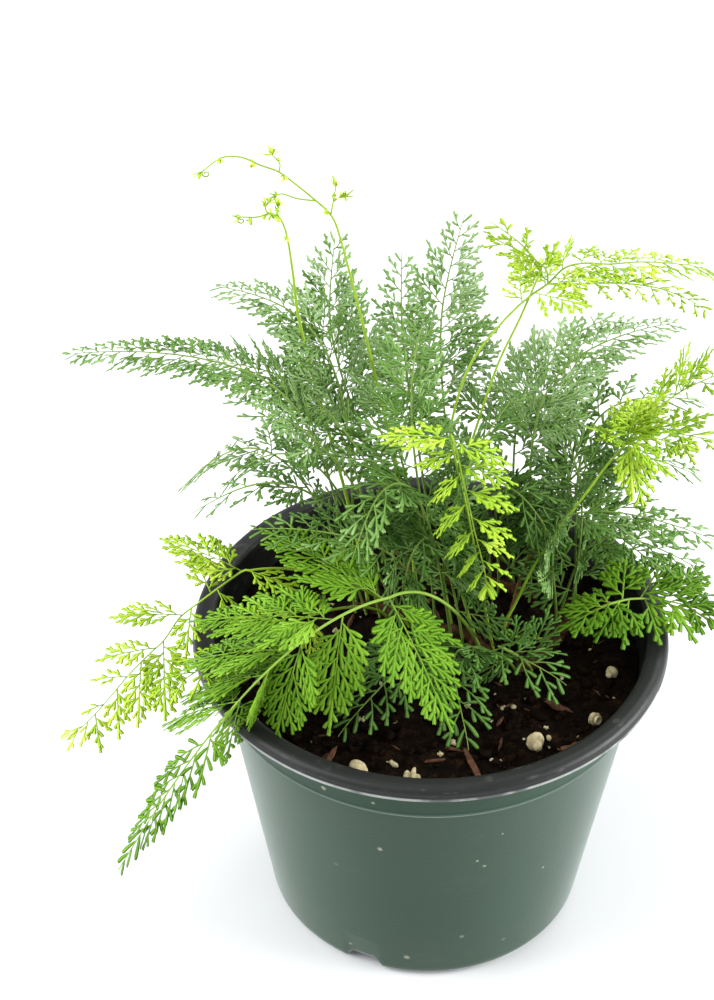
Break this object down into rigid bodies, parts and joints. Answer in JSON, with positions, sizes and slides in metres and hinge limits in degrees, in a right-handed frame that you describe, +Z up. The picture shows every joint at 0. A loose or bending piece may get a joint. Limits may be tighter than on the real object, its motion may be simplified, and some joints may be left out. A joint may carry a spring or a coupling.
{
  "type": "potted fern",
  "caption": "Lacy fern with arching divided fronds and young unfurling tips, growing from creeping stems in a round nursery pot of soil.",
  "frame": {"origin": "middle of the pot's underside, on the plane it stands on", "axes": "+Z up along the pot's axis, -Y towards the front, where the soil is bare; the longest frond hangs over the lip on the -X side"},
  "size_m": [0.2152, 0.1745, 0.2564],
  "materials": {
    "pot_plastic": "thin green nursery plastic, black inside and on the lip, lightly scuffed",
    "potting_soil": "dark peat and bark mix",
    "rhizome": "brown, furry scales",
    "dry_stalk": "dry reddish brown stem",
    "perlite": "cream, rough and porous",
    "bark": "brown splinters",
    "leaf_mature": "fresh mid green leaf, soft sheen",
    "leaf_shade": "dark green leaf, soft sheen",
    "leaf_lime": "young yellow-green leaf, translucent"
  },
  "bodies": {
    "root": {"pot": "pot_plastic", "soil": "potting_soil", "rhizome_left": "rhizome", "rhizome_back": "rhizome", "rhizome_right": "rhizome", "dry_stalk": "dry_stalk", "perlite_grain_1": "perlite", "perlite_grain_2": "perlite", "perlite_grain_3": "perlite", "perlite_grain_4": "perlite", "perlite_grain_5": "perlite", "perlite_grain_6": "perlite", "bark_chip_1": "bark", "bark_chip_2": "bark", "bark_chip_3": "bark", "bark_chip_4": "bark", "frond_front_left": "leaf_mature", "frond_left_lime": "leaf_lime", "frond_left_lime_low": "leaf_lime", "frond_centre_lime": "leaf_lime", "frond_right_lime": "leaf_lime", "frond_top_lime": "leaf_lime", "frond_top_lime_short": "leaf_lime", "crozier_tall": "leaf_lime", "crozier_small": "leaf_lime", "frond_back_centre": "leaf_shade", "frond_back_left": "leaf_shade", "frond_back_small": "leaf_shade", "frond_far_left": "leaf_shade", "frond_left_high": "leaf_shade", "frond_left_fine": "leaf_shade", "frond_left_droop": "leaf_shade", "frond_left_droop_short": "leaf_shade", "frond_left_low": "leaf_shade", "frond_left_middle": "leaf_shade", "frond_left_inner": "leaf_shade", "frond_left_under": "leaf_shade", "frond_crown_back": "leaf_shade", "frond_crown_fan": "leaf_shade", "frond_crown_front": "leaf_shade", "frond_crown_low": "leaf_shade", "frond_crown_right": "leaf_shade", "frond_right_back": "leaf_shade", "frond_right_upright": "leaf_shade", "frond_right_far": "leaf_shade", "frond_right_inner": "leaf_shade", "frond_right_high": "leaf_shade", "frond_right_middle": "leaf_shade", "frond_centre_right": "leaf_shade", "frond_right_rear": "leaf_shade", "frond_back_right": "leaf_shade", "frond_back_low_left": "leaf_shade", "frond_back_low_right": "leaf_shade", "frond_right_low": "leaf_mature", "frond_front_right_low": "leaf_shade", "frond_front_low": "leaf_shade", "frond_front_left_low": "leaf_shade"}
  },
  "joints": []
}
